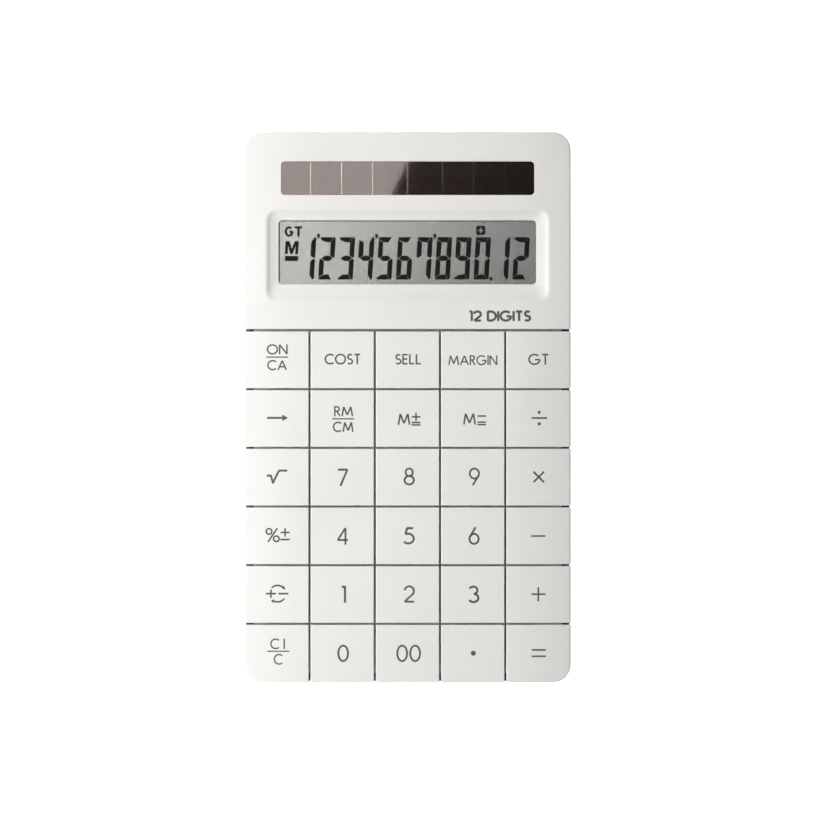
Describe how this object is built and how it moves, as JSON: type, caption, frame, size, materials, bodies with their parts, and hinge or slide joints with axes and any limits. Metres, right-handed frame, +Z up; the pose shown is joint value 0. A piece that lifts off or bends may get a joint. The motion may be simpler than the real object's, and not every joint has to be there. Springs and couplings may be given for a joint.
{
  "type": "desk calculator",
  "caption": "Thin wedge desk calculator with a wide segment display, a solar strip and a grid of flush square keys that press down.",
  "frame": {"origin": "centre of the footprint, on the surface that the feet stand on", "axes": "+X to the right and +Y to the display end as a user sees it, +Z up; the top slopes 4 degrees, higher at the display"},
  "size_m": [0.1084, 0.1828, 0.0251],
  "materials": {
    "white_plastic": "fine satin",
    "key_plastic": "fine satin",
    "charcoal_plastic": "fine texture",
    "solar_window": "clear, polished",
    "display_window": "clear, polished",
    "solar_glass": "polished",
    "solar_silicon": "dark amorphous silicon",
    "wire_insulation": "satin",
    "display_glass": "polished",
    "polariser_film": "smooth film",
    "reflector_film": "pearly film",
    "bracket_plastic": "satin",
    "connector_rubber": "striped silicone",
    "mat_rubber": "moulded silicone",
    "pill_carbon": "conductive, matt",
    "board_laminate": "solder resist",
    "chip_resin": "poured epoxy",
    "chip_ceramic": "fired ceramic",
    "capacitor_sleeve": "shrunk sleeve",
    "screw_steel": "zinc plated",
    "cell_steel": "nickel plated",
    "contact_nickel": "nickel plated",
    "foot_rubber": "matt"
  },
  "bodies": {
    "case": {"upper_case": "white_plastic", "solar_window": "solar_window", "display_window": "display_window", "solar_panel": "solar_glass", "solar_cells": "solar_silicon", "solar_leads": "wire_insulation", "lcd_glass": "display_glass", "front_polariser": "polariser_film", "rear_reflector": "reflector_film", "lcd_bracket": "bracket_plastic", "zebra_strip": "connector_rubber", "dome_mat": "mat_rubber", "contact_pills": "pill_carbon", "circuit_board": "board_laminate", "processor_blob": "chip_resin", "surface_mount_parts": "chip_ceramic", "capacitor": "capacitor_sleeve", "board_screws": "screw_steel", "rear_cover": "charcoal_plastic", "case_screws": "screw_steel", "battery_cover": "charcoal_plastic", "battery_cover_screw": "screw_steel", "coin_cell": "cell_steel", "positive_contact": "contact_nickel", "negative_contact": "contact_nickel", "battery_leads": "wire_insulation", "front_feet": "foot_rubber", "rear_feet": "foot_rubber"},
    "key_on": {"key_on": "key_plastic"},
    "key_cost": {"key_cost": "key_plastic"},
    "key_sell": {"key_sell": "key_plastic"},
    "key_margin": {"key_margin": "key_plastic"},
    "key_grand_total": {"key_grand_total": "key_plastic"},
    "key_backspace": {"key_backspace": "key_plastic"},
    "key_memory_recall": {"key_memory_recall": "key_plastic"},
    "key_memory_add": {"key_memory_add": "key_plastic"},
    "key_memory_subtract": {"key_memory_subtract": "key_plastic"},
    "key_divide": {"key_divide": "key_plastic"},
    "key_root": {"key_root": "key_plastic"},
    "key_7": {"key_7": "key_plastic"},
    "key_8": {"key_8": "key_plastic"},
    "key_9": {"key_9": "key_plastic"},
    "key_multiply": {"key_multiply": "key_plastic"},
    "key_percent": {"key_percent": "key_plastic"},
    "key_4": {"key_4": "key_plastic"},
    "key_5": {"key_5": "key_plastic"},
    "key_6": {"key_6": "key_plastic"},
    "key_subtract": {"key_subtract": "key_plastic"},
    "key_sign": {"key_sign": "key_plastic"},
    "key_1": {"key_1": "key_plastic"},
    "key_2": {"key_2": "key_plastic"},
    "key_3": {"key_3": "key_plastic"},
    "key_add": {"key_add": "key_plastic"},
    "key_clear": {"key_clear": "key_plastic"},
    "key_0": {"key_0": "key_plastic"},
    "key_00": {"key_00": "key_plastic"},
    "key_point": {"key_point": "key_plastic"},
    "key_equals": {"key_equals": "key_plastic"}
  },
  "joints": [
    {"name": "press_on", "type": "slide", "parent": "case", "child": "key_on", "axis": [0, 0.0698, -0.9976], "range_m": [0, 0.0012], "stiffness_N_per_m": 300, "springref_m": -0.001, "deforming": ["dome_mat", "contact_pills"]},
    {"name": "press_cost", "type": "slide", "parent": "case", "child": "key_cost", "axis": [0, 0.0698, -0.9976], "range_m": [0, 0.0012], "stiffness_N_per_m": 300, "springref_m": -0.001, "deforming": ["dome_mat", "contact_pills"]},
    {"name": "press_sell", "type": "slide", "parent": "case", "child": "key_sell", "axis": [0, 0.0698, -0.9976], "range_m": [0, 0.0012], "stiffness_N_per_m": 300, "springref_m": -0.001, "deforming": ["dome_mat", "contact_pills"]},
    {"name": "press_margin", "type": "slide", "parent": "case", "child": "key_margin", "axis": [0, 0.0698, -0.9976], "range_m": [0, 0.0012], "stiffness_N_per_m": 300, "springref_m": -0.001, "deforming": ["dome_mat", "contact_pills"]},
    {"name": "press_grand_total", "type": "slide", "parent": "case", "child": "key_grand_total", "axis": [0, 0.0698, -0.9976], "range_m": [0, 0.0012], "stiffness_N_per_m": 300, "springref_m": -0.001, "deforming": ["dome_mat", "contact_pills"]},
    {"name": "press_backspace", "type": "slide", "parent": "case", "child": "key_backspace", "axis": [0, 0.0698, -0.9976], "range_m": [0, 0.0012], "stiffness_N_per_m": 300, "springref_m": -0.001, "deforming": ["dome_mat", "contact_pills"]},
    {"name": "press_memory_recall", "type": "slide", "parent": "case", "child": "key_memory_recall", "axis": [0, 0.0698, -0.9976], "range_m": [0, 0.0012], "stiffness_N_per_m": 300, "springref_m": -0.001, "deforming": ["dome_mat", "contact_pills"]},
    {"name": "press_memory_add", "type": "slide", "parent": "case", "child": "key_memory_add", "axis": [0, 0.0698, -0.9976], "range_m": [0, 0.0012], "stiffness_N_per_m": 300, "springref_m": -0.001, "deforming": ["dome_mat", "contact_pills"]},
    {"name": "press_memory_subtract", "type": "slide", "parent": "case", "child": "key_memory_subtract", "axis": [0, 0.0698, -0.9976], "range_m": [0, 0.0012], "stiffness_N_per_m": 300, "springref_m": -0.001, "deforming": ["dome_mat", "contact_pills"]},
    {"name": "press_divide", "type": "slide", "parent": "case", "child": "key_divide", "axis": [0, 0.0698, -0.9976], "range_m": [0, 0.0012], "stiffness_N_per_m": 300, "springref_m": -0.001, "deforming": ["dome_mat", "contact_pills"]},
    {"name": "press_root", "type": "slide", "parent": "case", "child": "key_root", "axis": [0, 0.0698, -0.9976], "range_m": [0, 0.0012], "stiffness_N_per_m": 300, "springref_m": -0.001, "deforming": ["dome_mat", "contact_pills"]},
    {"name": "press_7", "type": "slide", "parent": "case", "child": "key_7", "axis": [0, 0.0698, -0.9976], "range_m": [0, 0.0012], "stiffness_N_per_m": 300, "springref_m": -0.001, "deforming": ["dome_mat", "contact_pills"]},
    {"name": "press_8", "type": "slide", "parent": "case", "child": "key_8", "axis": [0, 0.0698, -0.9976], "range_m": [0, 0.0012], "stiffness_N_per_m": 300, "springref_m": -0.001, "deforming": ["dome_mat", "contact_pills"]},
    {"name": "press_9", "type": "slide", "parent": "case", "child": "key_9", "axis": [0, 0.0698, -0.9976], "range_m": [0, 0.0012], "stiffness_N_per_m": 300, "springref_m": -0.001, "deforming": ["dome_mat", "contact_pills"]},
    {"name": "press_multiply", "type": "slide", "parent": "case", "child": "key_multiply", "axis": [0, 0.0698, -0.9976], "range_m": [0, 0.0012], "stiffness_N_per_m": 300, "springref_m": -0.001, "deforming": ["dome_mat", "contact_pills"]},
    {"name": "press_percent", "type": "slide", "parent": "case", "child": "key_percent", "axis": [0, 0.0698, -0.9976], "range_m": [0, 0.0012], "stiffness_N_per_m": 300, "springref_m": -0.001, "deforming": ["dome_mat", "contact_pills"]},
    {"name": "press_4", "type": "slide", "parent": "case", "child": "key_4", "axis": [0, 0.0698, -0.9976], "range_m": [0, 0.0012], "stiffness_N_per_m": 300, "springref_m": -0.001, "deforming": ["dome_mat", "contact_pills"]},
    {"name": "press_5", "type": "slide", "parent": "case", "child": "key_5", "axis": [0, 0.0698, -0.9976], "range_m": [0, 0.0012], "stiffness_N_per_m": 300, "springref_m": -0.001, "deforming": ["dome_mat", "contact_pills"]},
    {"name": "press_6", "type": "slide", "parent": "case", "child": "key_6", "axis": [0, 0.0698, -0.9976], "range_m": [0, 0.0012], "stiffness_N_per_m": 300, "springref_m": -0.001, "deforming": ["dome_mat", "contact_pills"]},
    {"name": "press_subtract", "type": "slide", "parent": "case", "child": "key_subtract", "axis": [0, 0.0698, -0.9976], "range_m": [0, 0.0012], "stiffness_N_per_m": 300, "springref_m": -0.001, "deforming": ["dome_mat", "contact_pills"]},
    {"name": "press_sign", "type": "slide", "parent": "case", "child": "key_sign", "axis": [0, 0.0698, -0.9976], "range_m": [0, 0.0012], "stiffness_N_per_m": 300, "springref_m": -0.001, "deforming": ["dome_mat", "contact_pills"]},
    {"name": "press_1", "type": "slide", "parent": "case", "child": "key_1", "axis": [0, 0.0698, -0.9976], "range_m": [0, 0.0012], "stiffness_N_per_m": 300, "springref_m": -0.001, "deforming": ["dome_mat", "contact_pills"]},
    {"name": "press_2", "type": "slide", "parent": "case", "child": "key_2", "axis": [0, 0.0698, -0.9976], "range_m": [0, 0.0012], "stiffness_N_per_m": 300, "springref_m": -0.001, "deforming": ["dome_mat", "contact_pills"]},
    {"name": "press_3", "type": "slide", "parent": "case", "child": "key_3", "axis": [0, 0.0698, -0.9976], "range_m": [0, 0.0012], "stiffness_N_per_m": 300, "springref_m": -0.001, "deforming": ["dome_mat", "contact_pills"]},
    {"name": "press_add", "type": "slide", "parent": "case", "child": "key_add", "axis": [0, 0.0698, -0.9976], "range_m": [0, 0.0012], "stiffness_N_per_m": 300, "springref_m": -0.001, "deforming": ["dome_mat", "contact_pills"]},
    {"name": "press_clear", "type": "slide", "parent": "case", "child": "key_clear", "axis": [0, 0.0698, -0.9976], "range_m": [0, 0.0012], "stiffness_N_per_m": 300, "springref_m": -0.001, "deforming": ["dome_mat", "contact_pills"]},
    {"name": "press_0", "type": "slide", "parent": "case", "child": "key_0", "axis": [0, 0.0698, -0.9976], "range_m": [0, 0.0012], "stiffness_N_per_m": 300, "springref_m": -0.001, "deforming": ["dome_mat", "contact_pills"]},
    {"name": "press_00", "type": "slide", "parent": "case", "child": "key_00", "axis": [0, 0.0698, -0.9976], "range_m": [0, 0.0012], "stiffness_N_per_m": 300, "springref_m": -0.001, "deforming": ["dome_mat", "contact_pills"]},
    {"name": "press_point", "type": "slide", "parent": "case", "child": "key_point", "axis": [0, 0.0698, -0.9976], "range_m": [0, 0.0012], "stiffness_N_per_m": 300, "springref_m": -0.001, "deforming": ["dome_mat", "contact_pills"]},
    {"name": "press_equals", "type": "slide", "parent": "case", "child": "key_equals", "axis": [0, 0.0698, -0.9976], "range_m": [0, 0.0012], "stiffness_N_per_m": 300, "springref_m": -0.001, "deforming": ["dome_mat", "contact_pills"]}
  ]
}
